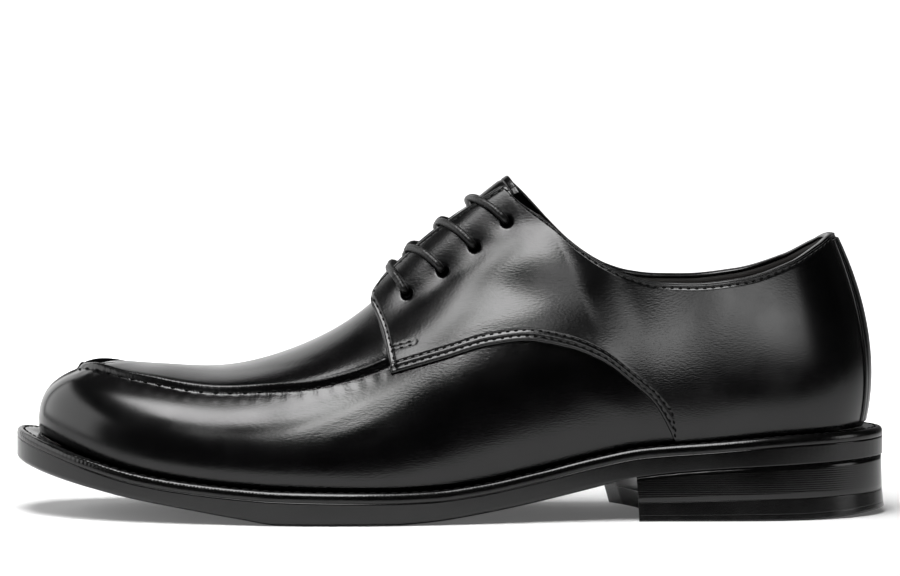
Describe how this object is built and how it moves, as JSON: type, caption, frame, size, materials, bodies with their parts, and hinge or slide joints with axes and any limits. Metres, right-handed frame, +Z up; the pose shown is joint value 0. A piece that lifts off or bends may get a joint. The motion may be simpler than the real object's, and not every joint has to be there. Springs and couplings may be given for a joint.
{
  "type": "dress shoe",
  "caption": "Left leather derby dress shoe with a raised apron seam at the toe, open-laced facings, a welted sole and a low stacked heel.",
  "frame": {"origin": "on the floor, under the middle of the shoe's bounding box", "axes": "+X from the toe to the heel, +Y from the outer (lateral) to the inner (medial) side, +Z up"},
  "size_m": [0.3027, 0.1036, 0.1174],
  "materials": {
    "polished_leather": "polished, glossy",
    "sole_leather": "dyed and burnished edge",
    "heel_leather": "dyed stacked leather, satin",
    "heel_rubber": "matte",
    "lining_leather": "matte lining",
    "lace_cotton": "waxed round cord"
  },
  "bodies": {
    "root": {"outsole": "sole_leather", "welt": "sole_leather", "heel_stack": "heel_leather", "top_piece": "heel_rubber", "upper": "polished_leather", "tongue": "polished_leather", "insole": "lining_leather", "lace_bar_1": "lace_cotton", "lace_cross_2": "lace_cotton", "lace_cross_3": "lace_cotton", "lace_cross_4": "lace_cotton"}
  },
  "joints": []
}
